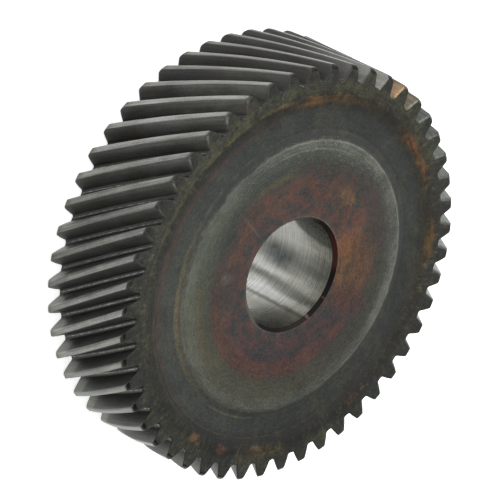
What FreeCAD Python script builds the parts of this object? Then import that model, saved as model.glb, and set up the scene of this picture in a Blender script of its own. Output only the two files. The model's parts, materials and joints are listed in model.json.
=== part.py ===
import FreeCAD, Part
import math
import os
from FreeCAD import Vector

# One helical gear, cut from a single turned blank. It lies on its back face with its axis
# along +Z, and the origin is the bore's centre in the plane of the back hub ring. Lengths are
# millimetres.

# Teeth
tooth_count = 49
tooth_module = 1.0        # measured square to the tooth
pressure_angle = 20.0     # degrees, square to the tooth
helix_angle = 30.75       # degrees at the pitch circle, left hand
profile_shift = 0.2       # in modules, how far the teeth stand outwards
tip_height = 1.0          # in modules, before the shift
root_depth = 1.25         # in modules, before the shift
root_fillet = 0.3         # radius between flank and root
gap_overrun = 1.0         # how far the cutting shape of a gap runs past the blank at each end
face_width = 15.7         # length of the teeth along the axis
tooth_end_bevel = 0.4     # bevel of the tips at both ends of the teeth
tip_break = 0.15          # broken edges along the tips

# Faces, the same on both sides, from the teeth inwards
rim_band = 2.2            # flat ring between the tooth roots and the web's slope
rim_slope = 1.7           # radial width of the slope from the rim down to the web
web_width = 3.1           # flat floor of the sunk web ring
web_depth = 0.4           # how far the web lies below the tooth ends
hub_slope = 1.0           # radial width of the slope from the web up to the hub
hub_stand = 0.12          # how far the hub face stands beyond the tooth ends
hub_edge = 0.35           # rounding of the hub's rim
web_round = 0.5           # rounding of the web's corners
hub_ring = 2.2            # flat ring round the hub, which wears bright
dish_slope = 3.0          # radial width of the slope from the ring down into the hub's dish
hub_dish = 0.2            # how far the dish round the bore lies below the ring
dish_round = 12.0         # rounding of the dish's shallow corners

# Bore
bore_radius = 7.75
bore_chamfer = 0.55

# What follows from the sizes above
helix = math.radians(helix_angle)
pitch_radius = tooth_count * tooth_module / (2 * math.cos(helix))
tip_radius = pitch_radius + tooth_module * (tip_height + profile_shift)
root_radius = pitch_radius - tooth_module * (root_depth - profile_shift)
flat_pressure = math.atan(math.tan(math.radians(pressure_angle)) / math.cos(helix))
base_radius = pitch_radius * math.cos(flat_pressure)
total_height = face_width + 2 * hub_stand
teeth_bottom = hub_stand
teeth_top = hub_stand + face_width
turn_per_mm = math.tan(helix) / pitch_radius
rim_radius = root_radius - rim_band
web_outer = rim_radius - rim_slope
web_inner = web_outer - web_width
hub_radius = web_inner - hub_slope
dish_outer = hub_radius - hub_ring
dish_inner = dish_outer - dish_slope
dish_top = total_height - hub_dish


def involute_roll(radius):
    # Angle by which the involute has left the base circle's start at this radius.
    if radius <= base_radius:
        return 0.0
    opening = math.acos(base_radius / radius)
    return math.tan(opening) - opening


def half_tooth(radius):
    # Half the tooth's angle at this radius, in a section square to the axis.
    half_pitch_tooth = math.pi / 2 + 2 * profile_shift * math.tan(math.radians(pressure_angle))
    return (half_pitch_tooth / tooth_count + involute_roll(pitch_radius)
            - involute_roll(radius))


def polar(radius, angle, height=0.0):
    return Vector(radius * math.cos(angle), radius * math.sin(angle), height)


def flank_point(radius, height=0.0):
    # A point on the flank on the left of the gap, the gap being centred on +X.
    return polar(radius, math.pi / tooth_count - half_tooth(radius), height)


def fillet_place(rounding):
    # Where the root's fillet touches the flank, and its centre, rounding away from both.
    low = root_radius * 0.999
    high = tip_radius
    for k in range(60):
        middle = (low + high) / 2
        here = flank_point(middle)
        along = flank_point(middle + 0.001) - flank_point(middle - 0.001)
        along.normalize()
        centre = here + Vector(along.y, -along.x, 0) * rounding
        if centre.Length > root_radius + rounding:
            high = middle
        else:
            low = middle
    return middle, centre


def gap_face(height):
    # The space between two teeth, centred on +X: two involute flanks, a rounded root, the
    # broken edges of the tips, and an outer edge that lies beyond them.
    half_land = root_radius * (math.pi / tooth_count - half_tooth(root_radius))
    rounding = min(root_fillet, half_land)
    start, centre = fillet_place(rounding)
    clear_radius = tip_radius + 0.4 * tooth_module
    flank_end = tip_radius - tip_break
    radii = [start + (flank_end - start) * k / 9 for k in range(10)]
    left = [flank_point(r) for r in radii]
    widening = (clear_radius - flank_end) / tip_radius
    end_angle = math.atan2(left[-1].y, left[-1].x)
    outside = polar(clear_radius, end_angle + widening)
    mirror_outside = Vector(outside.x, -outside.y, 0)
    root_end = polar(root_radius, math.atan2(centre.y, centre.x))
    bend = (left[0] + root_end) / 2 - centre
    bend.normalize()
    fillet_middle = centre + bend * rounding
    mirrored = [Vector(p.x, -p.y, 0) for p in left]
    left_flank = Part.BSplineCurve()
    left_flank.interpolate(left[::-1])
    right_flank = Part.BSplineCurve()
    right_flank.interpolate(mirrored)
    mirror_end = Vector(root_end.x, -root_end.y, 0)
    mirror_middle = Vector(fillet_middle.x, -fillet_middle.y, 0)
    edges = [
        right_flank.toShape(),
        Part.makeLine(mirrored[-1], mirror_outside),
        Part.Arc(mirror_outside, polar(clear_radius, 0.0), outside).toShape(),
        Part.makeLine(outside, left[-1]),
        left_flank.toShape(),
        Part.Arc(left[0], fillet_middle, root_end).toShape(),
        Part.Arc(root_end, polar(root_radius, 0.0), mirror_end).toShape(),
        Part.Arc(mirror_end, mirror_middle, mirrored[0]).toShape(),
    ]
    outline = Part.Wire(edges)
    outline.translate(Vector(0, 0, height))
    return outline


def gap_solid():
    # The space swept along the left-hand helix, longer than the blank at both ends.
    low = -gap_overrun
    high = total_height + gap_overrun
    spine = Part.Wire([Part.makeLine(Vector(0, 0, low), Vector(0, 0, high))])
    steps = 10
    guide_points = []
    for k in range(steps + 1):
        height = low + (high - low) * k / steps
        guide_points.append(polar(tip_radius, (teeth_top - height) * turn_per_mm, height))
    guide_curve = Part.BSplineCurve()
    guide_curve.interpolate(guide_points)
    guide = Part.Wire([guide_curve.toShape()])
    profile = gap_face(low)
    profile.rotate(Vector(0, 0, 0), Vector(0, 0, 1),
                   math.degrees((teeth_top - low) * turn_per_mm))
    sweep = Part.BRepOffsetAPI.MakePipeShell(spine)
    sweep.setAuxiliarySpine(guide, True, 0)
    sweep.add(profile, False, False)
    sweep.build()
    sweep.makeSolid()
    return sweep.shape()


def rounded_outline(corners):
    # A closed outline in the XZ plane from (radius, height, rounding) corners. A rounding
    # is limited by the shorter of its two sides.
    count = len(corners)
    points = [Vector(r, 0, z) for r, z, rounding in corners]
    starts = []
    ends = []
    middles = []
    for k in range(count):
        here = points[k]
        back = points[k - 1] - here
        ahead = points[(k + 1) % count] - here
        rounding = corners[k][2]
        if rounding <= 0:
            starts.append(here)
            ends.append(here)
            middles.append(None)
            continue
        half = back.getAngle(ahead) / 2
        reach = rounding / math.tan(half)
        reach = min(reach, 0.45 * back.Length, 0.45 * ahead.Length)
        rounding = reach * math.tan(half)
        back.normalize()
        ahead.normalize()
        inward = back + ahead
        inward.normalize()
        starts.append(here + back * reach)
        ends.append(here + ahead * reach)
        middles.append(here + inward * (rounding / math.sin(half) - rounding))
    edges = []
    for k in range(count):
        if middles[k] is not None:
            edges.append(Part.Arc(starts[k], middles[k], ends[k]).toShape())
        edges.append(Part.makeLine(ends[k], starts[(k + 1) % count]))
    return Part.Wire(edges)


def blank_solid():
    # The turned blank: bore with chamfers, dished hub, sunk web, rim and bevelled tips.
    web_top = teeth_top - web_depth
    upper = [
        (bore_radius, dish_top - bore_chamfer, 0),
        (bore_radius + bore_chamfer, dish_top, 0),
        (dish_inner, dish_top, dish_round),
        (dish_outer, total_height, dish_round),
        (hub_radius, total_height, hub_edge),
        (web_inner, web_top, web_round),
        (web_outer, web_top, web_round),
        (rim_radius, teeth_top, web_round),
        (tip_radius - tooth_end_bevel, teeth_top, 0),
        (tip_radius, teeth_top - tooth_end_bevel, 0),
    ]
    lower = [(r, total_height - z, rounding) for r, z, rounding in upper[::-1]]
    outline = rounded_outline(upper + lower)
    return Part.Face(outline).revolve(Vector(0, 0, 0), Vector(0, 0, 1), 360)


def at_height(shape, height):
    # True if the whole shape lies at this height.
    return all(abs(v.Point.z - height) < 1e-4 for v in shape.Vertexes)


def turned_copies(shapes):
    # Every shape once for each tooth, turned about the axis.
    copies = []
    for k in range(tooth_count):
        for shape in shapes:
            copy = shape.copy()
            copy.rotate(Vector(0, 0, 0), Vector(0, 0, 1), 360.0 * k / tooth_count)
            copies.append(copy)
    return copies


def toothed_gear():
    # One gap, and the one tooth between two gaps, are cut in the blank. Their faces are
    # repeated round the axis and closed with the blank's own faces and two toothed rims.
    blank = blank_solid()
    gap = gap_solid()
    pitch_turn = 360.0 / tooth_count
    gap.rotate(Vector(0, 0, 0), Vector(0, 0, 1), pitch_turn * (tooth_count // 2 + 0.5))
    next_gap = gap.copy()
    next_gap.rotate(Vector(0, 0, 0), Vector(0, 0, 1), pitch_turn)
    bevel_foot = tip_radius - tooth_end_bevel - 1e-3
    tooth_faces = []
    for face in blank.cut(gap).Faces:
        if face.Surface.TypeId == "Part::GeomBSplineSurface":
            tooth_faces.append(face)
    for face in blank.cut([gap, next_gap]).Faces:
        outside = all(math.hypot(v.Point.x, v.Point.y) > bevel_foot for v in face.Vertexes)
        swept = face.Surface.TypeId == "Part::GeomBSplineSurface"
        if outside and not swept and face.BoundBox.DiagonalLength < tip_radius:
            tooth_faces.append(face)
    faces = turned_copies(tooth_faces)
    for face in blank.Faces:
        reach = max(math.hypot(v.Point.x, v.Point.y) for v in face.Vertexes)
        if reach < bevel_foot:
            faces.append(face)
    for face in blank.Faces:
        reach = max(math.hypot(v.Point.x, v.Point.y) for v in face.Vertexes)
        height = face.Vertexes[0].Point.z
        if reach < bevel_foot or not at_height(face, height):
            continue
        inner = min(face.Wires, key=lambda wire: wire.BoundBox.DiagonalLength)
        edges = []
        for tooth_face in tooth_faces:
            edges.extend(edge for edge in tooth_face.Edges if at_height(edge, height))
        outer = Part.Wire(Part.sortEdges(turned_copies(edges))[0])
        rim = Part.Face([outer, inner])
        if rim.Area > Part.Face(outer).Area:
            inner.reverse()
            rim = Part.Face([outer, inner])
        faces.append(rim)
    shell = Part.Shell(faces)
    shell.sewShape()
    return Part.Solid(shell)


gear = toothed_gear()

box = gear.optimalBoundingBox(False, False)
print("tip radius", round(tip_radius, 3), "root radius", round(root_radius, 3),
      "pitch radius", round(pitch_radius, 3))
print("dish", round(dish_inner, 3), round(dish_outer, 3), "hub radius", round(hub_radius, 3),
      "web", round(web_inner, 3), round(web_outer, 3), "rim", round(rim_radius, 3))
print("gear valid", gear.isValid(), "faces", len(gear.Faces), "volume", round(gear.Volume, 2),
      "box", round(box.XLength, 3), round(box.YLength, 3), round(box.ZLength, 3))

os.makedirs("parts", exist_ok=True)
gear.exportStep("parts/helical_gear.step")
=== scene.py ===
import json
import math
import bpy
import numpy as np
from mathutils import Matrix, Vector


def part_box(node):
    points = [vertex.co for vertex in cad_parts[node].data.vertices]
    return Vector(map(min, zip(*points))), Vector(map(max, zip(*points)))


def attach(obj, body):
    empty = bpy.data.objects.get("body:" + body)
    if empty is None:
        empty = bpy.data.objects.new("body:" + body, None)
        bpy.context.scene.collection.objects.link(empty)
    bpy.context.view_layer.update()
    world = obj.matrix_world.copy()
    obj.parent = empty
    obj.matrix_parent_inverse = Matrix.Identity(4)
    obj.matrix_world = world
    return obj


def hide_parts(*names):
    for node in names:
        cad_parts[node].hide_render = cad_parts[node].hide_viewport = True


# A helical steel gear that lies on its back face, with its axis along +Z.
# Shapes are worked out in millimetres and turned into metres when the mesh is made.

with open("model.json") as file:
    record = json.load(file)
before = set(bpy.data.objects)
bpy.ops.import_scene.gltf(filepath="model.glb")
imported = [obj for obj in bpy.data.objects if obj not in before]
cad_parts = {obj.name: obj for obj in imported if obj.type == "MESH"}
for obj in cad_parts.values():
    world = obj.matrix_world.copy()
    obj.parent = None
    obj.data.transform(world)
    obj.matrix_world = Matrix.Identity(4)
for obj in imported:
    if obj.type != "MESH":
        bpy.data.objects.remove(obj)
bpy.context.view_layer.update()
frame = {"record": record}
millimetre = 0.001
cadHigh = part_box("helical_gear")[1]
boreMount = next(m for m in frame["record"]["mounts"] if m["name"] == "bore")

gearShape = {
    "teeth": 49,
    "module": 1.0,                  # square to a tooth
    "helix": 30.75,                 # degrees at the pitch circle, left hand
    "pressure": 20.0,               # degrees, square to a tooth
    "shift": 0.2,                   # modules that the teeth stand outwards
    "rootDepth": 1.25,              # modules
    "fillet": 0.24,                 # reach of the rounding at a tooth's foot
    "tipRound": 0.13,               # worn edges along the tips
    "tipRoundSpread": (0.7, 1.35),  # least and most of it, as a share
    "tipBevel": 0.4,                # cut corners at both ends of the tips
    "tipBevelSpread": (0.85, 1.2),
    "cutFade": 0.12,                # depth over which the tone of a cut corner sets in
    "endWear": 0.27,                # worn edges at both ends of a tooth
    "endWearSpread": (0.75, 1.2),
    "endWearOnTips": 0.4,           # share of the end's wear that rounds the tips as well
    "endWearRelief": 0.5,           # how much less the end falls back at the tip than at the foot
    "endToneGain": 1.35,            # above 1, the tone of a worn end is full before its edge
    "hubStand": 0.12,               # how far the hub stands beyond the teeth
    "footStrip": 0.5,               # from the root circle in to the first turned ring
    "rimBand": 2.2,
    "rimSlope": 1.7,
    "webWidth": 3.1,
    "webDepth": 0.4,
    "hubSlope": 1.0,
    "hubEdge": 1.2,                 # width of the hub's worn edge
    "hubEdgeFall": 0.035,           # and how far it falls
    "hubRing": 2.2,                 # flat worn ring round the hub
    "dishSlope": 3.0,               # width of the slope from the ring down into the dish
    "dishDepth": 0.2,
    "boreChamfer": 0.55,
    # how light the worn land of a tooth is, by the tooth's angle in degrees: partly its own wear, partly
    # painted light that differs round the gear
    "landTones": [
        (-180, 0.05), (-162, 0.02), (-147, 0.46), (-136, 0.44), (-121, 0.7), (-110, 0.46),
        (-83, 0.2), (-73, 0.26), (-59, 0.57), (-50, 0.38), (-30, 0.3), (-12, 0.12), (20, 0.2),
        (110, 0.3), (180, 0.05),
    ],
    "landToneSpread": 0.05,
    "sharpAngle": 42,               # degrees, past which an edge looks crisp
    "seed": 11,
}

tipRadius = cadHigh.x / millimetre
totalHeight = cadHigh.z / millimetre
boreRadius = boreMount["dims"]["r_mm"]
helix = math.radians(gearShape["helix"])
pitchRadius = gearShape["teeth"] * gearShape["module"] / (2 * math.cos(helix))
rootRadius = pitchRadius - gearShape["module"] * (gearShape["rootDepth"] - gearShape["shift"])
pressure = math.radians(gearShape["pressure"])
flatPressure = math.atan(math.tan(pressure) / math.cos(helix))
baseRadius = pitchRadius * math.cos(flatPressure)
pitchShare = (math.pi / 2 + 2 * gearShape["shift"] * math.tan(pressure)) / gearShape["teeth"]
teethTop = totalHeight - gearShape["hubStand"]
teethBottom = gearShape["hubStand"]
turnPerMm = math.tan(helix) / pitchRadius
toothPitch = 2 * math.pi / gearShape["teeth"]
rimRadius = rootRadius - gearShape["rimBand"]
webOuter = rimRadius - gearShape["rimSlope"]
webInner = webOuter - gearShape["webWidth"]
hubRadius = webInner - gearShape["hubSlope"]
mouthRadius = boreRadius + gearShape["boreChamfer"]

# Points of a tooth's outline, counted from the middle of the gap before it
lastFootPoint = 4
firstLandPoint = 13

# Places of the three steels among the gear's materials
toothSlot = 0
faceSlot = 1
boreSlot = 2


def involute(radius):
    # tan(a) - a, where cos(a) is the base circle's radius over this radius
    a = np.arccos(np.clip(baseRadius / radius, 0, 1))
    return np.tan(a) - a


def halfTooth(radius):
    # Half a tooth's angle at this radius: its share at the pitch circle, plus the involute
    # there, less the involute here.
    return pitchShare + involute(pitchRadius) - involute(radius)


def bend(first, corner, last, steps):
    # points of a quadratic curve after its first point: (1-t)^2 first + 2t(1-t) corner + t^2 last
    t = np.arange(1, steps + 1) / steps
    return (1 - t) ** 2 * first + 2 * t * (1 - t) * corner + t ** 2 * last


def halfProfile(tips, rounds):
    # From the middle of a gap up one side of a tooth to its land, for every row and tooth:
    # 2 points on the root circle, 3 of the rounded foot, 6 of the involute flank, 3 of the
    # rounded tip. Returns their radii and their angles away from the tooth's middle.
    full = np.ones(tips.shape + (1,))
    foot = rootRadius + gearShape["fillet"]
    rootHalf = halfTooth(rootRadius)
    footStart = rootHalf + gearShape["fillet"] / rootRadius
    tips = tips[..., None]
    rounds = rounds[..., None]
    flank = foot + (tips - rounds - foot) * np.arange(1, 7) / 6
    radii = [full * rootRadius, full * rootRadius,
             full * bend(rootRadius, rootRadius, foot, 3),
             flank,
             bend(tips - rounds, tips, tips, 3)]
    angles = [full * math.pi / gearShape["teeth"], full * footStart,
              full * bend(footStart, rootHalf, halfTooth(foot), 3),
              halfTooth(flank),
              bend(halfTooth(tips - rounds), halfTooth(tips), halfTooth(tips) - rounds / tips, 3)]
    return np.concatenate(radii, -1), np.concatenate(angles, -1)


def toothRows():
    # Heights of the rows of points, from the top down, close together at the worn ends.
    length = teethTop - teethBottom
    near = np.array([0.0, 0.012, 0.04, 0.08, 0.14, 0.2, 0.27, 0.36, 0.46, 0.8])
    middle = np.linspace(near[-1], length - near[-1], 10)[1:-1]
    return teethTop - np.concatenate([near, middle, length - near[::-1]])


def bothSides(half):
    # a row of values and its mirror, with the first value left out of the mirror
    return np.concatenate([half, half[..., :0:-1]], -1)


def toothMarks(draw, middles, rise, worn, cut):
    # What the finish reads at each point of the teeth: on the land, at the root, which side
    # (-1 or 1), worn end, height on the flank, tone of the land, cut corner. The first three
    # have a value for each of the 15 points up to the land, which the other side mirrors.
    land = bothSides(np.array([0] * 10 + [0.2, 0.55, 0.85, 1, 1]))
    root = bothSides(np.array([1, 0.5, 0.2] + [0] * 12))
    side = np.array([0, -0.3, -0.6, -0.9] + [-1] * 9 + [-0.8, -0.3])
    degrees, tones = zip(*gearShape["landTones"])
    spread = gearShape["landToneSpread"]
    turnedTo = np.degrees((middles + math.pi) % (2 * math.pi) - math.pi)
    marks = {
        "land": land,
        "root": root,
        "side": np.concatenate([side, -side[:0:-1]]),
        "edge": worn[..., None],
        "rise": np.clip(rise, 0, 1),
        "tone": np.interp(turnedTo, degrees, tones) + draw.uniform(-spread, spread, middles.shape),
        "cut": cut[..., None] * land,
    }
    return {name: np.broadcast_to(values, rise.shape).reshape(-1) for name, values in marks.items()}


def toothedBand(draw):
    # The outline of all teeth at every row: a half profile, two land points and its mirror,
    # turned by the left-hand helix, then moved inwards square to itself at the worn ends.
    count = gearShape["teeth"]
    heights = toothRows()[:, None]
    depth = np.minimum(teethTop - heights, heights - teethBottom)
    wear = gearShape["endWear"] * draw.uniform(*gearShape["endWearSpread"], (1, count))
    bevel = gearShape["tipBevel"] * draw.uniform(*gearShape["tipBevelSpread"], (1, count))
    inside = np.clip(1 - depth / wear, 0, 1)
    fall = wear * (1 - np.sqrt(1 - inside ** 2))
    tips = tipRadius - np.clip(bevel - depth, 0, None)
    uneven = draw.uniform(*gearShape["tipRoundSpread"], (heights.size, count))
    rounds = gearShape["tipRound"] * uneven + gearShape["endWearOnTips"] * fall
    radii, halves = halfProfile(tips, rounds)
    land = halves[..., -1:] / 3
    local = np.concatenate([-halves, -land, land, halves[..., :0:-1]], -1)
    radius = np.concatenate([radii, tips[..., None], tips[..., None], radii[..., :0:-1]], -1)
    middles = (np.arange(count) * toothPitch)[None, :, None]
    turned = ((teethTop - heights) * turnPerMm)[..., None]
    theta = middles + turned + local
    x = (radius * np.cos(theta)).reshape(heights.size, -1)
    y = (radius * np.sin(theta)).reshape(heights.size, -1)
    alongX = np.roll(x, -1, 1) - np.roll(x, 1, 1)
    alongY = np.roll(y, -1, 1) - np.roll(y, 1, 1)
    length = np.hypot(alongX, alongY)
    rise = (radius - rootRadius) / (tipRadius - rootRadius)
    inward = (fall[..., None] * (1 - gearShape["endWearRelief"] * rise)).reshape(heights.size, -1)
    x = x - inward * alongY / length
    y = y + inward * alongX / length
    z = np.broadcast_to(heights, x.shape)
    worn = np.clip(gearShape["endToneGain"] * inside, 0, 1)
    cut = np.clip((bevel - depth) / gearShape["cutFade"], 0, 1)
    return np.stack([x, y, z], -1), toothMarks(draw, middles, rise, worn, cut)


def sectionOfBody():
    # The turned body's section from the teeth's foot inwards, down the bore and back out:
    # straight runs between corners, each corner a quadratic curve of its own reach.
    top = totalHeight
    floorOfWeb = teethTop - gearShape["webDepth"]
    dishEdge = hubRadius - gearShape["hubRing"]
    dishTop = top - gearShape["dishDepth"]
    # radius, height, reach
    upper = [
        (rootRadius - gearShape["footStrip"], teethTop, 0.0),
        (rimRadius, teethTop, 0.45),
        (webOuter, floorOfWeb, 0.5),
        (webInner, floorOfWeb, 0.22),
        (hubRadius, top - gearShape["hubEdgeFall"], 0.3),
        (hubRadius - gearShape["hubEdge"], top, 0.5),
        (dishEdge, top, 0.45),
        (dishEdge - gearShape["dishSlope"], dishTop, 0.9),
        (mouthRadius, dishTop, 0.05),
        (boreRadius, dishTop - gearShape["boreChamfer"], 0.05),
    ]
    corners = upper + [(r, top - z, reach) for r, z, reach in upper[::-1]]
    spots = np.array([corner[:2] for corner in corners])
    section = [spots[0]]
    cornerShare = 0.45        # the most of a run that a corner takes
    for k in range(1, len(corners) - 1):
        back = spots[k - 1] - spots[k]
        ahead = spots[k + 1] - spots[k]
        reach = min(corners[k][2], cornerShare * np.hypot(*back), cornerShare * np.hypot(*ahead))
        start = spots[k] + back * reach / np.hypot(*back)
        end = spots[k] + ahead * reach / np.hypot(*ahead)
        section.append(start)
        curve = [bend(start[i], spots[k][i], end[i], 4) for i in range(2)]
        section.extend(np.stack(curve, -1))
    section.append(spots[-1])
    return np.array(section)


def stripFaces(first, second, closed):
    # Quads between two rows of point numbers: a[i], b[i], b[i+1], a[i+1]
    if closed:
        quads = [first, second, np.roll(second, -1, -1), np.roll(first, -1, -1)]
    else:
        quads = [first[..., :-1], second[..., :-1], second[..., 1:], first[..., 1:]]
    return np.stack(quads, -1).reshape(-1, 4)


def toothEnds(teeth, grid):
    # Both ends of every tooth as ladders of quads from foot to land, each rung at 0, 1/3, 2/3
    # and 1 of the way between the flanks. Returns the new points, the quads and, for each
    # end, the line of points along the foot of all teeth.
    count = gearShape["teeth"]
    perTooth = grid.shape[1] // count
    rungs = np.arange(lastFootPoint, firstLandPoint)
    total = grid.size
    points = []
    quads = []
    feet = []
    for row, upwards in ((0, True), (-1, False)):
        ends = teeth[row].reshape(count, perTooth, 3)
        numbers = grid[row].reshape(count, perTooth)
        left = ends[:, rungs]
        right = ends[:, perTooth - rungs]
        between = np.stack([left + (right - left) / 3, left + (right - left) * 2 / 3], 2)
        points.append(between.reshape(-1, 3))
        inner = total + np.arange(between.size // 3).reshape(count, rungs.size, 2)
        total += between.size // 3
        ladder = np.concatenate([numbers[:, rungs, None], inner, numbers[:, perTooth - rungs, None]], -1)
        land = numbers[:, None, firstLandPoint:firstLandPoint + 4]
        ladder = np.concatenate([ladder, land], 1)
        if upwards:
            quads.append(stripFaces(ladder[:, :-1], ladder[:, 1:], False))
        else:
            quads.append(stripFaces(ladder[:, 1:], ladder[:, :-1], False))
        foot = [numbers[:, :lastFootPoint + 1], inner[:, 0], numbers[:, -lastFootPoint:]]
        feet.append(np.concatenate(foot, -1).reshape(-1))
    return points, quads, feet


def turnedBody(upper, lower):
    # The body's section turned about the axis, a ring of points for each of its points. The
    # angles pass from those of the upper line of points to those of the lower, by depth.
    upperAngle = np.unwrap(np.arctan2(upper[:, 1], upper[:, 0]))
    lowerAngle = np.arctan2(lower[:, 1], lower[:, 0])
    lowerAngle = upperAngle + (lowerAngle - upperAngle + math.pi) % (2 * math.pi) - math.pi
    section = sectionOfBody()
    share = np.clip((teethTop - section[:, 1:]) / (teethTop - teethBottom), 0, 1)
    theta = upperAngle + (lowerAngle - upperAngle) * share
    return np.stack([section[:, :1] * np.cos(theta), section[:, :1] * np.sin(theta),
                     np.broadcast_to(section[:, 1:], theta.shape)], -1)


def gearObject(points, faces, marks, slots):
    # The mesh in metres, with its marks, material slots and crisp edges.
    mesh = bpy.data.meshes.new("helicalGear")
    mesh.from_pydata((points * millimetre).tolist(), [], faces.tolist())
    mesh.update()
    for name, values in marks.items():
        layer = mesh.attributes.new(name, "FLOAT", "POINT")
        data = np.zeros(len(points), np.float32)
        data[:values.size] = values
        layer.data.foreach_set("value", data)
    mesh.shade_smooth()
    mesh.set_sharp_from_angle(angle=math.radians(gearShape["sharpAngle"]))
    made = bpy.data.objects.new("helicalGear", mesh)
    bpy.context.scene.collection.objects.link(made)
    mesh.polygons.foreach_set("material_index", slots)
    return made


def buildGear():
    # Teeth, end faces and turned body as one closed skin.
    teeth, marks = toothedBand(np.random.default_rng(gearShape["seed"]))
    rows, around = teeth.shape[:2]
    grid = np.arange(rows * around).reshape(rows, around)
    endPoints, endQuads, feet = toothEnds(teeth, grid)
    points = np.concatenate([teeth.reshape(-1, 3), *endPoints])
    # the helix carries a tooth so many places on from the upper end to the lower
    teethTurned = round((teethTop - teethBottom) * turnPerMm / toothPitch)
    upperFoot = feet[0]
    lowerFoot = np.roll(feet[1], teethTurned * (feet[1].size // gearShape["teeth"]))
    rings = turnedBody(points[upperFoot], points[lowerFoot])
    turned = len(points) + np.arange(rings.size // 3).reshape(rings.shape[:2])
    points = np.concatenate([points, rings.reshape(-1, 3)])
    toothQuads = stripFaces(grid[:-1], grid[1:], True)
    faces = np.concatenate([toothQuads, *endQuads,
                            stripFaces(turned[1:], turned[:-1], True),
                            stripFaces(turned[0], upperFoot, True),
                            stripFaces(lowerFoot, turned[-1], True)])
    middle = points[faces].mean(1)
    margin = 0.05             # keeps the face's own quads out of the bore's
    slots = np.full(len(faces), faceSlot, np.int32)
    slots[:len(toothQuads)] = toothSlot
    slots[np.hypot(middle[:, 0], middle[:, 1]) < mouthRadius - margin] = boreSlot
    print("gear", len(points), "points", len(faces), "faces")
    return gearObject(points, faces, marks, slots)


gear = buildGear()


class Shade:
    # A value, vector or colour inside a material. Operators on it add Math nodes.
    def __init__(self, tree, socket=None):
        self.tree = tree
        self.socket = socket

    def node(self, kind, settings, values, output=0):
        # One node: its settings first, then numbers or links into its sockets.
        made = self.tree.nodes.new(kind)
        for name, setting in settings.items():
            if name == "stops":
                while len(made.color_ramp.elements) < len(setting):
                    made.color_ramp.elements.new(1.0)
                for element, (place, colour) in zip(made.color_ramp.elements, setting):
                    element.position = place
                    element.color = colour
            else:
                setattr(made, name, setting)
        for name, value in values.items():
            if isinstance(value, Shade):
                self.tree.links.new(value.socket, made.inputs[name])
            else:
                made.inputs[name].default_value = value
        return Shade(self.tree, made.outputs[output])

    def math(self, operation, first, second=0.0):
        return self.node("ShaderNodeMath", {"operation": operation}, {0: first, 1: second})

    def __add__(self, other):
        return self.math("ADD", self, other)

    def __radd__(self, other):
        return self.math("ADD", other, self)

    def __sub__(self, other):
        return self.math("SUBTRACT", self, other)

    def __rsub__(self, other):
        return self.math("SUBTRACT", other, self)

    def __mul__(self, other):
        return self.math("MULTIPLY", self, other)

    def __rmul__(self, other):
        return self.math("MULTIPLY", other, self)

    def most(self, other):
        return self.math("MAXIMUM", self, other)

    def step(self, low, high):
        # smoothly 0 at low and 1 at high, with low above high as well
        return self.node("ShaderNodeMapRange", {"interpolation_type": "SMOOTHSTEP"},
                         {"Value": self, "From Min": low, "From Max": high})

    def vector(self, operation, first, second=(0, 0, 0), third=(0, 0, 0), output=0):
        return self.node("ShaderNodeVectorMath", {"operation": operation},
                         {0: first, 1: second, 2: third}, output)

    def times(self, sizes):
        # this vector or colour, each part multiplied by its own size
        return self.vector("MULTIPLY", self, sizes)

    def scaled(self, amount):
        # this vector longer or shorter, or this colour lighter or darker
        return self.node("ShaderNodeVectorMath", {"operation": "SCALE"}, {0: self, 3: amount})

    def part(self, axis):
        # one of this vector's three numbers: 0, 1 or 2
        return self.node("ShaderNodeSeparateXYZ", {}, {0: self}, axis)

    def between(self, first, second, mask):
        # a colour from the first where the mask is 0 to the second where it is 1
        return self.node("ShaderNodeMix", {"data_type": "RGBA"}, {0: mask, 6: first, 7: second}, 2)

    def over(self, colour, mask):
        # another colour laid over this one where the mask is 1
        return self.between(self, colour, mask)

    def painted(self, paint, mask):
        # a paint laid over this colour where the mask is 1: its tone on screen and its strength
        tone, strength = paint
        return self.over(shown(tone), mask * strength)


def shown(tone):
    # the linear colour that a screen shows as these 0 to 255 values: ((c + 0.055) / 1.055) ^ 2.4
    return (*(((c / 255 + 0.055) / 1.055) ** 2.4 for c in tone), 1)


def startMaterial(name):
    # An empty material with its shader, and the place on the gear in millimetres.
    material = bpy.data.materials.new(name)
    material.use_nodes = True
    tree = material.node_tree
    shader = tree.nodes["Principled BSDF"]
    start = Shade(tree)
    metres = start.node("ShaderNodeTexCoord", {}, {}, 3)
    gear.data.materials.append(material)
    return start, shader, metres.scaled(1 / millimetre)


def endMaterial(start, shader, colour, metallic, roughness, height, depth):
    # What varies goes into colour, metal, roughness and a bump of this depth in metres.
    tree = start.tree
    tree.links.new(colour.socket, shader.inputs["Base Color"])
    tree.links.new(metallic.socket, shader.inputs["Metallic"])
    tree.links.new(roughness.socket, shader.inputs["Roughness"])
    bump = start.node("ShaderNodeBump", {}, {"Strength": 1.0, "Distance": depth, "Height": height})
    tree.links.new(bump.socket, shader.inputs["Normal"])


def noise(place, scale, detail=4.0, rough=0.55, output=0):
    # cloudy values from about 0.3 to 0.7, or three of them as a vector at output 1
    return place.node("ShaderNodeTexNoise", {},
                      {"Vector": place, "Scale": scale, "Detail": detail, "Roughness": rough}, output)


def stretched(place, scales, detail=4.0, rough=0.55):
    # noise with a scale of its own along each axis
    return noise(place.times(scales), 1.0, detail, rough)


def ringed(measure, scale, detail, rough):
    # noise along one measure only, so that it draws rings
    return measure.node("ShaderNodeTexNoise", {"noise_dimensions": "1D"},
                        {"W": measure, "Scale": scale, "Detail": detail, "Roughness": rough})


def fromAxis(place):
    # distance from the axis: the length of (x, y)
    return place.vector("LENGTH", place.times((1, 1, 0)), output=1)


def frontHalf(place):
    # 1 on the front half of the gear and 0 on the back half
    return place.part(2).step(totalHeight * 0.45, totalHeight * 0.55)


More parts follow.
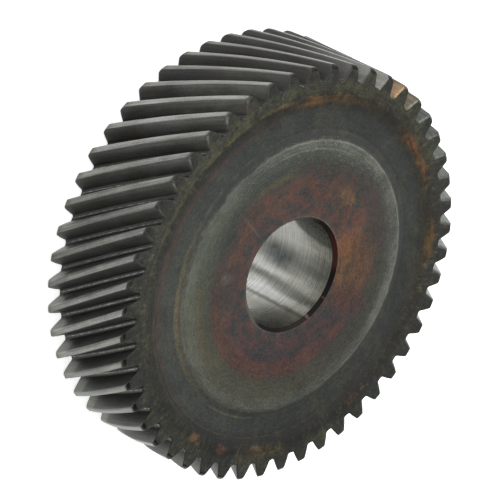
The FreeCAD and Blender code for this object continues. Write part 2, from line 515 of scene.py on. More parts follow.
def aroundAxis(place, across):
    # The direction from the axis as (x, y) of length 1, with another measure as third part.
    flat = place.vector("NORMALIZE", place.times((1, 1, 0)))
    return place.vector("ADD", flat, place.node("ShaderNodeCombineXYZ", {}, {2: across}))


def spot(around, degrees, half, across, reach, soft):
    # 1 inside an oval on the angle and the measure across, smoothly 0 outside it:
    # length of ((direction - centre) / chord of the half angle, (across - centre) / reach)
    chord = 2 * math.sin(math.radians(half) / 2)
    centre = (math.cos(math.radians(degrees)), math.sin(math.radians(degrees)), across)
    size = (1 / chord, 1 / chord, 1 / reach)
    offset = tuple(-c * s for c, s in zip(centre, size))
    away = around.vector("MULTIPLY_ADD", around, size, offset)
    return around.vector("LENGTH", away, output=1).step(1 + soft, 1 - soft)


def ragged(around, wander, turn, shift):
    # the direction and measure, moved about by a noise vector, up to turn and shift
    reach = (turn, turn, shift)
    moved = around.vector("MULTIPLY_ADD", wander, tuple(2 * r for r in reach), tuple(-r for r in reach))
    return around.vector("ADD", around, moved)


def stained(colour, around, patches, torn):
    # Every patch in turn: its oval, made patchy by the torn mask as far as it says.
    for degrees, half, across, reach, soft, tone, strength, patchy in patches:
        mask = spot(around, degrees, half, across, reach, soft)
        mask = mask * ((1 - patchy) * strength + torn * (patchy * strength))
        colour = colour.over(shown(tone), mask)
    return colour


faceLook = {
    # colours from the bore outwards: radius, then as shown on screen
    "rings": [
        (7.9, (78, 70, 65)), (9.5, (67, 61, 59)), (12.5, (66, 60, 58)), (14.6, (62, 60, 57)),
        (16.3, (62, 63, 59)), (17.5, (79, 80, 74)), (18.4, (113, 114, 107)), (19.25, (125, 126, 119)),
        (19.42, (66, 66, 62)), (19.8, (48, 48, 46)), (20.4, (50, 51, 49)), (21.4, (54, 56, 53)),
        (22.6, (51, 53, 51)), (23.5, (49, 49, 47)), (24.1, (43, 43, 39)), (24.9, (40, 39, 35)),
        (25.6, (39, 38, 34)), (26.4, (45, 45, 40)), (27.4, (46, 46, 42)), (29.0, (42, 43, 40)),
    ],
    # degrees, half angle, radius, half width, softness, colour, strength, patchiness
    "stains": [
        (-50, 60, 22.0, 2.4, 0.9, (70, 72, 68), 0.7, 0.2),
        (-62, 40, 17.6, 2.2, 0.8, (88, 92, 84), 0.6, 0.3),
        (20, 85, 16.4, 1.8, 0.7, (68, 66, 57), 0.7, 0.35),
        (20, 75, 18.8, 0.9, 0.5, (81, 83, 76), 0.65, 0.2),
        (-45, 19, 18.5, 1.3, 0.8, (124, 124, 113), 0.5, 0.2),
        (-132, 24, 17.6, 0.9, 0.8, (70, 71, 67), 0.5, 0.2),
        (-150, 40, 18.8, 0.9, 0.8, (84, 85, 80), 0.4, 0.2),
        (0, 70, 18.9, 0.8, 0.8, (116, 116, 100), 0.35, 0.3),
        (5, 55, 16.5, 1.6, 0.9, (84, 82, 56), 0.45, 0.5),
        (100, 16, 18.7, 0.7, 0.8, (136, 136, 129), 0.5, 0.2),
        (138, 19, 18.2, 1.3, 0.8, (86, 87, 81), 0.45, 0.1),
        (-110, 22, 18.9, 0.8, 0.8, (86, 87, 82), 0.6, 0.2),
        # painted shade: the hub slope darker round -130 and 150 degrees
        (-130, 62, 19.9, 0.5, 0.6, (34, 34, 33), 0.8, 0.0),
        (150, 60, 19.9, 0.5, 0.6, (42, 42, 40), 0.5, 0.0),
        (30, 60, 11.0, 1.7, 0.7, (54, 51, 54), 0.5, 0.5),
        (28, 52, 12.2, 3.4, 0.8, (76, 56, 62), 0.35, 0.7),
        (12, 66, 13.7, 1.2, 0.5, (92, 58, 49), 0.85, 0.6),
        (-38, 22, 13.0, 1.3, 0.6, (90, 64, 53), 0.55, 0.7),
        (-78, 16, 12.0, 1.6, 0.7, (92, 64, 52), 0.4, 0.8),
        (-140, 45, 12.3, 1.7, 0.7, (100, 65, 51), 0.7, 0.9),
        (-165, 26, 13.5, 2.6, 0.7, (84, 60, 52), 0.6, 0.9),
        (-125, 14, 15.0, 0.5, 0.7, (92, 84, 68), 0.6, 0.3),
        (118, 24, 10.6, 3.8, 0.5, (112, 80, 52), 0.9, 0.6),
        (112, 18, 13.0, 1.5, 0.6, (102, 70, 52), 0.7, 0.8),
        (138, 15, 9.2, 1.4, 0.7, (124, 80, 54), 0.75, 0.4),
        (96, 9, 12.6, 3.0, 0.7, (92, 57, 54), 0.7, 0.7),
        (158, 26, 12.0, 2.6, 0.7, (104, 70, 53), 0.6, 0.9),
        (171, 7, 13.0, 0.8, 0.7, (118, 96, 66), 0.6, 0.5),
        (150, 28, 15.9, 1.3, 0.8, (78, 60, 60), 0.7, 0.7),
        (-40, 14, 17.0, 0.9, 0.8, (104, 80, 54), 0.35, 0.8),
        (-54, 8, 16.6, 1.2, 0.8, (100, 80, 58), 0.35, 0.8),
        (-66, 2.6, 12.0, 1.1, 0.9, (120, 117, 110), 0.35, 0.6),
        (-75, 42, 23.7, 0.7, 0.8, (76, 60, 55), 0.7, 0.5),
        (-145, 45, 25.7, 0.7, 0.7, (36, 35, 32), 0.8, 0.2),
        (28, 80, 25.0, 1.5, 0.7, (25, 24, 22), 0.85, 0.25),
        (-25, 30, 24.4, 0.8, 0.8, (30, 30, 27), 0.6, 0.1),
        (-165, 20, 21.0, 1.8, 0.9, (38, 40, 38), 0.35, 0.1),
        (-45, 18, 21.3, 1.6, 0.9, (74, 74, 69), 0.35, 0.1),
        (150, 26, 24.2, 0.5, 0.8, (60, 57, 52), 0.6, 0.2),
        (-90, 40, 26.6, 1.1, 0.8, (68, 68, 60), 0.6, 0.6),
        (-158, 13, 24.8, 0.45, 0.8, (104, 76, 48), 0.75, 0.4),
        (-168, 10, 25.8, 0.5, 0.8, (44, 44, 40), 0.4, 0.2),
        (-103, 12, 25.8, 0.5, 0.8, (44, 44, 40), 0.4, 0.2),
        (-45, 14, 25.8, 0.6, 0.8, (86, 82, 66), 0.35, 0.4),
        (-148, 5, 24.6, 0.5, 0.6, (118, 80, 43), 0.8, 0.7),
        (-140, 50, 26.8, 0.8, 0.8, (80, 80, 56), 0.6, 0.9),
        (135, 60, 25.3, 1.6, 0.8, (62, 56, 44), 0.6, 0.7),
        (161, 8, 25.0, 0.7, 0.6, (116, 74, 40), 0.9, 0.75),
        (150, 7, 25.2, 0.6, 0.6, (112, 74, 42), 0.8, 0.8),
        (123, 7, 25.6, 0.9, 0.6, (104, 76, 42), 0.8, 0.85),
        (-2, 2.2, 25.4, 0.6, 0.6, (118, 76, 44), 0.8, 0.4),
        (10, 2.4, 25.5, 0.7, 0.6, (104, 70, 50), 0.75, 0.4),
        (26, 4.5, 25.7, 0.8, 0.7, (104, 84, 50), 0.75, 0.7),
        (34, 3.0, 26.0, 0.8, 0.7, (94, 86, 58), 0.65, 0.7),
        (66, 2.2, 25.6, 0.5, 0.7, (104, 76, 50), 0.65, 0.6),
    ],
    # the same for fine lines, which stay true to their circle
    "lines": [
        (-48, 28, 20.25, 0.28, 0.9, (104, 94, 64), 0.7, 0.4),
        (-48, 32, 19.85, 0.2, 0.6, (84, 70, 62), 0.6, 0.3),
        (8, 15, 20.75, 0.13, 0.7, (104, 96, 70), 0.65, 0.6),
        (-80, 45, 23.45, 0.35, 0.9, (86, 66, 54), 0.45, 0.8),
        (-40, 22, 24.2, 0.16, 0.8, (92, 82, 56), 0.6, 0.7),
        (20, 60, 23.6, 0.1, 0.8, (84, 66, 51), 0.6, 0.8),
        (-128, 40, 25.75, 0.2, 0.8, (104, 94, 58), 0.5, 1.0),
        (-148, 16, 25.45, 0.22, 0.8, (116, 84, 44), 0.7, 0.9),
        (-95, 30, 26.1, 0.16, 0.8, (90, 86, 64), 0.6, 0.8),
        (122, 62, 19.22, 0.12, 0.7, (164, 164, 156), 0.4, 0.5),
        (-155, 27, 19.15, 0.14, 0.7, (158, 158, 151), 0.4, 0.4),
        (-150, 22, 18.05, 0.14, 0.7, (136, 137, 130), 0.6, 0.5),
        (-160, 30, 18.55, 0.1, 0.7, (128, 129, 122), 0.5, 0.5),
        (-102.5, 0.8, 12.2, 3.2, 0.6, (104, 97, 93), 0.38, 0.3),
        (82, 27, 8.42, 0.2, 0.6, (40, 33, 29), 0.5, 0.3),
        (-178, 66, 8.34, 0.08, 0.8, (142, 131, 115), 0.45, 0.5),
        (-22, 22, 8.34, 0.08, 0.8, (136, 132, 124), 0.4, 0.3),
    ],
    # tone on screen and strength
    "heat": ((96, 58, 50), 0.52),
    "bluish": ((58, 62, 64), 0.65),
    "cool": ((50, 56, 54), 0.4),
    "warm": ((76, 74, 58), 0.4),
    "olive": ((76, 75, 52), 0.35),
    "rust": ((98, 74, 44), 0.35),
    "soot": ((32, 31, 28), 0.6),
    "specks": ((150, 150, 142), 0.6),
    "flecks": ((150, 150, 142), 0.45),
    # radii at the two ends of the ramp of rings, and how far a ring's edge wanders
    "ringSpan": (7.5, 29.5),
    "ringWander": 0.22,
    # how far a stain's edge wanders round the axis, as a share of the radius, and across
    "stainWander": (0.07, 0.75),
    # radii between which a zone sets in, or ends where the first is the larger
    "hub": (15.8, 13.2),
    "wornRingInner": (17.0, 18.6),
    "wornRingOuter": (19.55, 19.25),
    "hubSlopeInner": (19.3, 19.7),
    "hubSlopeOuter": (20.8, 20.4),
    "rim": (24.0, 25.2),
    # degrees, half angle, radius, half width, softness
    "fewSpecks": (-80, 62, 18.0, 30.0, 0.5),
    "flecked": (-145, 50, 17.6, 2.2, 0.4),
    "dimHub": (50, 62, 13.0, 9.0, 0.8),
    "dimRim": (35, 75, 23.5, 7.0, 0.8),
    "greenHub": (-100, 60, 15.6, 3.6, 0.8),
    "cast": (0.99, 1.014, 0.99),
    "hubCast": (0.965, 1.03, 0.99),
    "rough": 0.5,
    "metal": 0.5,
    "bump": 0.00003,              # metres
}


def makeFaceSteel():
    # Dark oxide skin on the faces: rings of colour, heat and rust stains, painted shade on the hub slope,
    # a speckled worn edge round the hub, fine grain and faint turned rings. The back mirrors the front.
    start, shader, place = startMaterial("faceSteel")
    radius = fromAxis(place)
    side = frontHalf(place) * 2.0 - 1.0
    mirrored = place.times(start.node("ShaderNodeCombineXYZ", {}, {0: side, 1: 1.0, 2: 1.0}))
    cloud = noise(place, 0.22, 3.0)
    tear = noise(place, 0.9, 5.0, 0.65)
    grain = noise(place, 3.2, 3.0, 0.7)
    dust = noise(place, 6.5, 2.0, 0.6)
    direction = aroundAxis(mirrored, radius)
    streaks = stretched(direction, (46, 46, 0.8), 3.0, 0.6)
    scores = stretched(direction, (16, 16, 4.5), 3.0, 0.6)
    arcs = stretched(direction, (7, 7, 1.1), 6.0, 0.62)
    fleck = stretched(direction, (5.5, 5.5, 0.8), 3.0, 0.55)
    turned = ringed(radius, 5.0, 3.0, 0.7)
    around = ragged(direction, noise(place, 0.5, 4.0, 0.6, 1), *faceLook["stainWander"])
    torn = (arcs * 0.65 + tear * 0.35).step(0.43, 0.59)

    # rings of colour from the bore outwards, then heat and rust stains, with painted shade on the hub slope
    # among them
    inner, outer = faceLook["ringSpan"]
    rings = [((r - inner) / (outer - inner), shown(tone)) for r, tone in faceLook["rings"]]
    wavy = radius + (tear - 0.5) * faceLook["ringWander"]
    colour = start.node("ShaderNodeValToRGB", {"stops": rings}, {0: (wavy - inner) * (1 / (outer - inner))})
    hub = radius.step(*faceLook["hub"])
    colour = colour.painted(faceLook["heat"], fleck.step(0.42, 0.66) * hub)
    colour = colour.painted(faceLook["bluish"], (1 - fleck).step(0.44, 0.68) * hub)
    hue = noise(mirrored, 0.33, 5.0, 0.6, 1)
    colour = colour.painted(faceLook["cool"], hue.part(0).step(0.48, 0.62) * (1 - hub))
    colour = colour.painted(faceLook["warm"], hue.part(1).step(0.5, 0.64) * (1 - hub))
    colour = stained(colour, around, faceLook["stains"], torn)
    colour = stained(colour, direction, faceLook["lines"], torn)

    # olive, rust and soot on the rim
    rim = radius.step(*faceLook["rim"])
    rust = (tear * 0.5 + streaks * 0.5).step(0.56, 0.66) * rim
    olive = (cloud * 0.4 + streaks * 0.6).step(0.5, 0.62) * rim
    soot = (tear * 0.5 + grain * 0.5).step(0.48, 0.38) * rim
    colour = colour.painted(faceLook["olive"], olive)
    colour = colour.painted(faceLook["rust"], rust)
    colour = colour.painted(faceLook["soot"], soot)

    # bright specks on the worn ring
    wornRing = radius.step(*faceLook["wornRingInner"]) * radius.step(*faceLook["wornRingOuter"])
    specks = dust.step(0.53, 0.67) * wornRing * (1 - spot(direction, *faceLook["fewSpecks"]) * 0.8)
    flecks = dust.step(0.6, 0.68) * spot(direction, *faceLook["flecked"])
    colour = colour.painted(faceLook["specks"], specks)
    colour = colour.painted(faceLook["flecks"], flecks)

    # how light each place is, and its cast
    dim = spot(direction, *faceLook["dimHub"]) * 0.2 + spot(direction, *faceLook["dimRim"]) * 0.14
    level = (grain - 0.5) * (1.6 - wornRing) + (streaks - 0.5) * rim * 0.7 + (scores - 0.5) * 0.9
    level = level + (cloud - 0.5) * 0.6 + (turned - 0.5) * 0.3 + (fleck - 0.5) * hub * 0.6 + 1.0 - dim
    colour = colour.scaled(level).times(faceLook["cast"])
    colour = colour.over(colour.times(faceLook["hubCast"]), spot(direction, *faceLook["greenHub"]))

    slope = radius.step(*faceLook["hubSlopeInner"]) * radius.step(*faceLook["hubSlopeOuter"])
    metallic = wornRing * 0.35 - rust * 0.25 - slope * 0.35 + faceLook["metal"]
    roughness = (tear - 0.5) * 0.3 - specks * 0.15 + rust * 0.2 + slope * 0.25 + faceLook["rough"]
    height = grain * 0.5 + tear * 0.8 + turned * 0.35 + scores * 0.3
    endMaterial(start, shader, colour, metallic, roughness, height, faceLook["bump"])


toothLook = {
    # tones on screen of the oxide skin and of the lands
    "oxide": (74, 74, 70),
    "brown": (80, 72, 60),
    "landDark": (74, 75, 71),
    "landLight": (141, 142, 137),
    # tone and strength
    "blue": ((66, 68, 74), 0.5),
    # painted light on the flanks towards the tips
    "upper": ((92, 93, 88), 0.5),
    # painted shade at the foot of the flanks
    "foot": ((24, 24, 22), 0.85),
    # darker flanks on the teeth round -165 degrees
    "soot": ((40, 40, 37), 0.6),
    # painted shadow on the minus flanks round -50 degrees
    "dusk": ((40, 40, 37), 0.5),
    # painted light near the back end of the minus flanks
    "back": ((108, 111, 104), 0.85),
    "brightBack": ((134, 138, 128), 0.8),
    # painted light on the plus flanks on one side of the gear, and a painted highlight on some
    "bare": ((98, 101, 96), 0.9),
    "bright": ((172, 170, 165), 0.9),
    "slope": ((138, 139, 133), 0.4),
    # painted glint along the roots
    "root": ((182, 182, 173), 1.0),
    "landBack": ((60, 56, 46), 0.6),
    "endDark": ((34, 34, 30), 0.8),
    "endPale": ((152, 152, 145), 0.8),
    "cut": ((34, 34, 30), 1.0),
    # where each lies: the tooth's angle at the front, half angle, height, half height, softness
    "toothPlaces": {
        "soot": (-165, 25, totalHeight / 2, totalHeight, 0.6),
        "dusk": (-50, 26, 14.0, 6.0, 0.5),
        # painted highlight on the lit plus flanks round -168 degrees
        "bright": (-168, 11, totalHeight, totalHeight * 1.3, 0.4),
        "slope": (-107, 20, 12.0, 7.0, 0.6),
        "dimRoot": (-86, 15, 6.0, 30.0, 0.5),
        "dimRootEnd": (-110, 24, 15.0, 3.5, 0.5),
        # painted shade on the worn ends round -148 degrees
        "dullEnd": (-148, 26, totalHeight, 3.0, 0.3),
        "paleEnd": (-105, 19, totalHeight, 3.0, 0.3),
        "sharpCut": (-125, 48, totalHeight, 3.0, 0.2),
        "moss": (-16, 36, 8.0, 30.0, 0.6),
    },
    # the same, by the angle round the axis at that height
    "placesAround": {
        # painted light near the back end of the minus flanks
        "back": (-38, 57, 0.0, 3.5, 0.15),
        "brightBack": (4, 16, 0.0, 3.8, 0.4),
        # painted light on the plus flanks round 85 degrees
        "bare": (85, 100, totalHeight, totalHeight * 1.6, 0.2),
        # painted shade on the minus flanks round -40 degrees
        "shade": (-40, 45, 10.0, 7.0, 0.4),
    },
    "moss": (1.0, 1.04, 0.94),
    # the tooth's angle, half angle, height, half height, softness, tone, strength, patchiness
    "stains": [
        (172.6, 3.2, 16.0, 5.0, 0.3, (136, 119, 92), 0.7, 0.7),
        (179.6, 3.2, 16.0, 5.0, 0.3, (156, 126, 90), 0.75, 0.6),
    ],
    # the same, only on the plus flanks: painted light and shade on the sides that face the light
    "sides": [
        (168, 18, 8.0, 9.0, 0.5, (56, 57, 56), 0.5, 0.3),
        (-148, 17, 11.0, 8.0, 0.4, (46, 43, 39), 0.55, 0.2),
        (-128, 13, 10.5, 5.0, 0.6, (112, 114, 106), 0.35, 0.3),
        (-90, 18, 9.0, 9.0, 0.6, (104, 108, 98), 0.3, 0.2),
    ],
    "bump": 0.00002,              # metres
}


def makeToothSteel():
    # Oxidised flanks with blotches and painted light and shade, worn bright lands whose tone differs
    # by tooth, partly as painted light, grainy roots with a painted glint, dark cut corners and thin
    # bright edges at the tooth ends.
    start, shader, place = startMaterial("toothSteel")
    z = place.part(2)
    marks = {name: start.node("ShaderNodeAttribute", {"attribute_name": name}, {}, 2)
             for name in ("land", "root", "side", "edge", "rise", "tone", "cut")}

    # places turned with the helix, so that what runs along a tooth keeps its direction
    along = start.node("ShaderNodeVectorRotate", {"rotation_type": "Z_AXIS"},
                       {"Vector": place, "Angle": z * turnPerMm})
    turnedBack = start.node("ShaderNodeVectorRotate", {"rotation_type": "Z_AXIS"},
                            {"Vector": along, "Angle": -teethTop * turnPerMm})
    around = aroundAxis(place, z)
    byTooth = aroundAxis(turnedBack, z)
    lines = stretched(along, (4.5, 4.5, 0.16), 4.0, 0.65)
    blotch = stretched(along, (0.5, 0.5, 0.3), 4.0, 0.6)
    tint = stretched(along, (0.455, 0.455, 0.26), 3.0)
    glint = stretched(along, (3.0, 3.0, 1.6), 3.0, 0.7)
    grain = noise(place, 4.0, 3.0, 0.7)
    spots = {name: spot(byTooth, *size) for name, size in toothLook["toothPlaces"].items()}
    for name, size in toothLook["placesAround"].items():
        spots[name] = spot(around, *size)
    front = frontHalf(place)
    plus = marks["side"].step(0.2, 0.8)
    minus = marks["side"].step(-0.2, -0.8)
    land = marks["land"].step(0.35, 0.8)
    flank = 1 - marks["land"]

    # the oxide skin of the flanks, with wear and with painted light and shade on it
    colour = start.between(shown(toothLook["oxide"]), shown(toothLook["brown"]), tint.step(0.5, 0.62) * 0.4)
    colour = colour.painted(toothLook["blue"], blotch.step(0.5, 0.62))
    # painted light: the flanks lighter towards the tips
    upper = marks["rise"].step(0.55, 0.95) * flank
    colour = colour.painted(toothLook["upper"], upper * lines.step(0.35, 0.65))
    # painted shade: the flanks darker towards the foot of the gap
    colour = colour.painted(toothLook["foot"], marks["rise"].step(0.32, 0.02))
    # darker flanks on the teeth round -165 degrees
    colour = colour.painted(toothLook["soot"], spots["soot"])
    # painted shadow: the minus flanks darker round -50 degrees, towards the front
    colour = colour.painted(toothLook["dusk"], spots["dusk"] * minus)
    # painted light: the minus flanks lighter near the back end, round -38 and 4 degrees
    back = spots["back"] * minus * marks["rise"].step(0.1, 0.4)
    colour = colour.painted(toothLook["back"], back)
    colour = colour.painted(toothLook["brightBack"], spots["brightBack"] * minus)
    # painted light: the plus flanks lighter on one side of the gear, with a painted highlight round -168
    # degrees
    litFlankSide = spots["bare"] * plus
    colour = colour.painted(toothLook["bare"], litFlankSide)
    colour = colour.painted(toothLook["bright"], spots["bright"] * litFlankSide)
    slope = marks["rise"].step(0.35, 1.0) * flank * plus
    slope = slope * spots["slope"] * (lines.step(0.3, 0.7) * 0.5 + 0.5)
    colour = colour.painted(toothLook["slope"], slope)

    # grainy roots with a painted glint along them, dimmer round -86 and -110 degrees, and worn lands
    root = marks["root"].step(0.6, 0.95)
    dim = spots["dimRoot"] * 0.5 + spots["dimRootEnd"] * 0.5
    colour = colour.painted(toothLook["root"], root * (glint.step(0.44, 0.6) * 0.7 + 0.25) * (1 - dim))
    tone = start.between(shown(toothLook["landDark"]), shown(toothLook["landLight"]),
                         marks["tone"] + (lines - 0.5) * 0.7 + (blotch - 0.5) * 0.8)
    colour = colour.over(tone.painted(toothLook["landBack"], z.step(1.8, 0.2)), land)

    # dark tooth ends, painted shade on the worn ends round -148 degrees, pale tooth ends, stains, painted
    # light and shade on the plus flanks, cut corners
    ends = marks["edge"].step(0.1, 0.6)
    colour = colour.painted(toothLook["endDark"], ends * (1 - plus) * front)
    # painted shade: the worn ends round -148 degrees darker, so their edges catch less light
    colour = colour.painted(toothLook["endDark"], ends * plus * spots["dullEnd"])
    crisp = marks["edge"].step(0.35, 0.8) * plus * marks["rise"].step(0.35, 0.85)
    grit = (grain * 0.6 + lines * 0.4).step(0.42, 0.62) * 0.5 + 0.5
    colour = colour.painted(toothLook["endPale"], crisp * spots["paleEnd"] * grit)
    torn = blotch.step(0.44, 0.58)
    colour = stained(colour, byTooth, toothLook["stains"], torn)
    # painted light and shade on the plus flanks
    colour = colour.over(stained(colour, byTooth, toothLook["sides"], torn), plus)
    sharp = spots["sharpCut"] * 0.4 + front * 0.2 + 0.25
    colour = colour.painted(toothLook["cut"], marks["cut"] * sharp)
    colour = colour.over(colour.times(toothLook["moss"]), spots["moss"])

    # how light each place is, with painted shade on the minus flanks round -40 degrees and painted light
    # near their back end
    level = (grain - 0.5) * 0.9 + (lines - 0.5) * (minus * 0.8 + 0.8) + (blotch - 0.5) * (1.2 - land) + 1.0
    level = level + (glint - 0.5) * litFlankSide * 0.9 - spots["shade"] * minus * 0.4 + back * 0.25
    colour = colour.scaled(level)
    bare = land.most(litFlankSide)
    metallic = bare * 0.5 + 0.45
    roughness = 0.5 - bare * 0.16 + (blotch - 0.5) * 0.2 + root * 0.12
    height = lines * 0.8 + grain * 0.5
    endMaterial(start, shader, colour, metallic, roughness, height, toothLook["bump"])


boreLook = {
    "steel": (154, 154, 149),
    "pale": (168, 168, 160),
    # bands of painted reflection and shade along the wall
    # degrees, half angle, depth below the front, half depth, softness, colour, strength, patchiness
    "bands": [
        (2, 30, 2.0, 6.0, 0.4, (96, 96, 90), 0.8, 0.1),
        (162, 25, 2.0, 6.4, 0.12, (80, 82, 76), 0.85, 0.1),
        (66, 8, 9.5, 4.5, 0.6, (198, 198, 198), 0.8, 0.2),
        (91, 6, 12.0, 3.8, 0.6, (190, 190, 187), 0.7, 0.2),
        (57, 2.2, 6.5, 10.0, 0.8, (98, 98, 93), 0.75, 0.1),
        (80, 3.6, 12.0, 6.5, 0.8, (92, 94, 90), 0.8, 0.1),
        (75, 5, 5.0, 5.0, 0.6, (112, 112, 107), 0.7, 0.1),
        (65, 4.5, 2.4, 3.8, 0.5, (206, 206, 201), 0.9, 0.1),
        (85, 4.5, 1.4, 2.6, 0.6, (190, 190, 185), 0.7, 0.1),
        (120, 9, 1.5, 3.4, 0.7, (172, 172, 166), 0.6, 0.2),
        (30, 14, 2.0, 4.2, 0.7, (124, 124, 118), 0.6, 0.1),
        (104, 5, 4.5, 3.0, 0.7, (92, 92, 88), 0.6, 0.1),
        (95, 4, 8.0, 3.2, 0.7, (110, 110, 106), 0.55, 0.2),
        (110, 12, 5.0, 9.0, 0.6, (90, 90, 86), 0.65, 0.2),
        (105, 12, 10.8, 3.5, 0.8, (54, 60, 58), 0.92, 0.2),
        (20, 9, 6.0, 1.1, 0.8, (130, 132, 127), 0.5, 0.1),
        (12, 12, 2.6, 1.1, 0.8, (72, 74, 71), 0.5, 0.1),
        (130, 12, 9.4, 4.0, 0.8, (138, 138, 134), 0.6, 0.1),
        (46, 7, 4.0, 6.0, 0.6, (106, 106, 100), 0.5, 0.1),
    ],
    "chamfer": (28, 22, 19),
    "chamferWorn": (40, 31, 27),
    # painted reflections on the chamfer as black and reddish marks, with pale patches and small nicks
    "chamferMarks": [
        (2, 30, 8.0, 3.0, 0.4, (13, 12, 11), 0.9, 0.1),
        (136, 20, 8.0, 3.0, 0.4, (58, 29, 22), 0.9, 0.3),
        (90, 27, 8.0, 3.0, 0.2, (9, 7, 7), 0.98, 0.05),
        (-144, 24, 8.0, 3.0, 0.6, (106, 101, 92), 0.75, 0.1),
        (-28, 15, 8.0, 3.0, 0.8, (100, 98, 92), 0.75, 0.1),
        (62, 1.6, 7.95, 0.3, 0.6, (98, 76, 72), 0.8, 0.1),
        (87, 0.8, 8.05, 0.3, 0.6, (90, 46, 42), 0.8, 0.1),
    ],
    "bandWander": (0.03, 0.8),    # of a band's edge, round the axis as a share and along it
    "mouth": (0.001, 0.02),       # beyond the wall's radius, where the chamfer's tone sets in
    "specular": 0.1,
    "rough": 0.27,
    "bump": 0.000006,             # metres
}


def makeBoreSteel():
    # Bright ground wall with fine lines round it, painted reflection and shade as dark and bright
    # bands along it, and a brown to black chamfer at its mouth with painted reflections on it.
    start, shader, place = startMaterial("boreSteel")
    radius = fromAxis(place)
    depth = totalHeight - place.part(2)
    around = aroundAxis(place, depth)
    fine = stretched(around, (1.6, 1.6, 6.0), 3.0, 0.65)
    streak = stretched(around, (6.0, 6.0, 0.05), 3.0)
    scratch = ringed(depth, 2.6, 5.0, 0.8)
    cloud = noise(place, 0.6, 4.0, 0.6)
    grain = noise(place, 4.0, 2.0)

    # the wall, with bands of painted reflection and shade along it
    colour = start.between(shown(boreLook["steel"]), shown(boreLook["pale"]), cloud.step(0.35, 0.65))
    wavy = ragged(around, noise(place, 0.7, 4.0, 0.6, 1), *boreLook["bandWander"])
    colour = stained(colour, wavy, boreLook["bands"], cloud.step(0.4, 0.6))
    level = (fine - 0.5) * 1.0 + (streak - 0.5) * 0.5 + (scratch - 0.5) * 0.9 + (cloud - 0.5) * 0.3 + 1.0
    colour = colour.scaled(level)

    # the chamfer: dark oxide, with painted reflections as black and reddish marks, pale patches and small
    # nicks
    mouth = (radius - boreRadius).step(*boreLook["mouth"])
    edge = start.between(shown(boreLook["chamfer"]), shown(boreLook["chamferWorn"]), grain)
    edge = stained(edge, aroundAxis(place, radius), boreLook["chamferMarks"], grain.step(0.4, 0.6))
    colour = colour.over(edge, mouth)

    metallic = 1.0 - mouth
    shader.inputs["Specular IOR Level"].default_value = boreLook["specular"]
    roughness = (fine - 0.5) * 0.25 + (cloud - 0.5) * 0.2 + mouth * 0.3 + boreLook["rough"]
    height = fine + streak * 0.2
    endMaterial(start, shader, colour, metallic, roughness, height, boreLook["bump"])


# in the order of toothSlot, faceSlot and boreSlot
makeToothSteel()
makeFaceSteel()
makeBoreSteel()
print("materials made")

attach(gear, "root")
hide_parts("helical_gear")

stage = {
    "floorSize": 3.0,
    "floorDrop": 0.00002,         # keeps the floor just clear of the gear's back
    "floorColour": 0.8,
    "floorRough": 0.9,
    "floorGlow": 0.75,
    "worldDark": 0.3,
    "worldBright": 1.0,
    "worldTurn": (0.55, -0.75),   # parts along X of the directions that are dark and bright
    "lampSize": 1.6,
    "lampPower": 15.0,
    "lampPlace": (-0.45, -0.35, 1.0),
    "focalLength": 319.162,
    "sensor": 36.0,
    "cameraPlace": (0.01725920, -0.44645525, 0.40555568),
    "cameraRight": (-0.48860242, 0.57032071, 0.66030445),
    "cameraUp": (-0.87201185, -0.34467852, -0.34755151),
    "cameraBack": (0.02937693, -0.74560781, 0.66573717),
}


def seenDirectly(start):
    # 1 for what the camera sees, in the open, mirrored or through glass
    paths = [start.node("ShaderNodeLightPath", {}, {}, name)
             for name in ("Is Camera Ray", "Is Glossy Ray", "Is Transmission Ray")]
    return paths[0].most(paths[1]).most(paths[2])


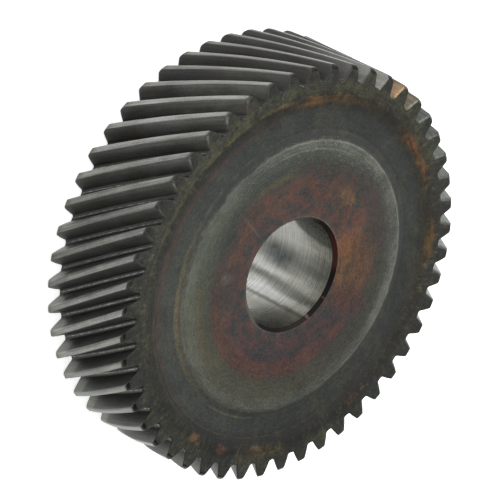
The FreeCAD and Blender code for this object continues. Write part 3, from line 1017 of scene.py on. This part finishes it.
def buildFloor():
    # A pale square under the gear.
    half = stage["floorSize"] / 2
    corners = [(-half, -half, 0), (half, -half, 0), (half, half, 0), (-half, half, 0)]
    mesh = bpy.data.meshes.new("floor")
    mesh.from_pydata(corners, [], [(0, 1, 2, 3)])
    floor = bpy.data.objects.new("floor", mesh)
    bpy.context.scene.collection.objects.link(floor)
    floor.location.z = -stage["floorDrop"]
    material = bpy.data.materials.new("floorPaper")
    material.use_nodes = True
    shader = material.node_tree.nodes["Principled BSDF"]
    shader.inputs["Base Color"].default_value = (stage["floorColour"],) * 3 + (1,)
    shader.inputs["Roughness"].default_value = stage["floorRough"]
    shader.inputs["Specular IOR Level"].default_value = 0.0
    shader.inputs["Emission Color"].default_value = (1, 1, 1, 1)
    glow = seenDirectly(Shade(material.node_tree)) * stage["floorGlow"]
    material.node_tree.links.new(glow.socket, shader.inputs["Emission Strength"])
    mesh.materials.append(material)


def buildWorld():
    # White to the camera, and brighter on one side than on the other to the gear.
    world = bpy.data.worlds.new("studio")
    bpy.context.scene.world = world
    world.use_nodes = True
    tree = world.node_tree
    start = Shade(tree)
    direction = start.node("ShaderNodeTexCoord", {}, {}, 0)
    bright = direction.part(0).step(*stage["worldTurn"]) * (stage["worldBright"] - stage["worldDark"])
    level = (bright + stage["worldDark"]).most(start.node("ShaderNodeLightPath", {}, {}, "Is Camera Ray"))
    background = tree.nodes["Background"]
    background.inputs["Color"].default_value = (1, 1, 1, 1)
    tree.links.new(level.socket, background.inputs["Strength"])


def buildLamp():
    # One large soft lamp that faces the gear.
    lamp = bpy.data.lights.new("softLamp", "AREA")
    lamp.size = stage["lampSize"]
    lamp.energy = stage["lampPower"]
    holder = bpy.data.objects.new("softLamp", lamp)
    bpy.context.scene.collection.objects.link(holder)
    holder.location = stage["lampPlace"]
    aim = -holder.location
    holder.rotation_euler = aim.to_track_quat("-Z", "Y").to_euler()


def placeCamera():
    # The camera's right, up and back directions are the columns of its turn.
    data = bpy.data.cameras.new("camera")
    data.sensor_width = stage["sensor"]
    data.lens = stage["focalLength"]
    data.clip_start = 0.01
    camera = bpy.data.objects.new("camera", data)
    bpy.context.scene.collection.objects.link(camera)
    columns = [stage["cameraRight"], stage["cameraUp"], stage["cameraBack"]]
    turn = Matrix(columns).transposed().to_4x4()
    camera.matrix_world = Matrix.Translation(stage["cameraPlace"]) @ turn
    bpy.context.scene.camera = camera


buildFloor()
buildWorld()
buildLamp()
placeCamera()
bpy.context.scene.view_settings.view_transform = "Standard"
print("stage and camera placed")
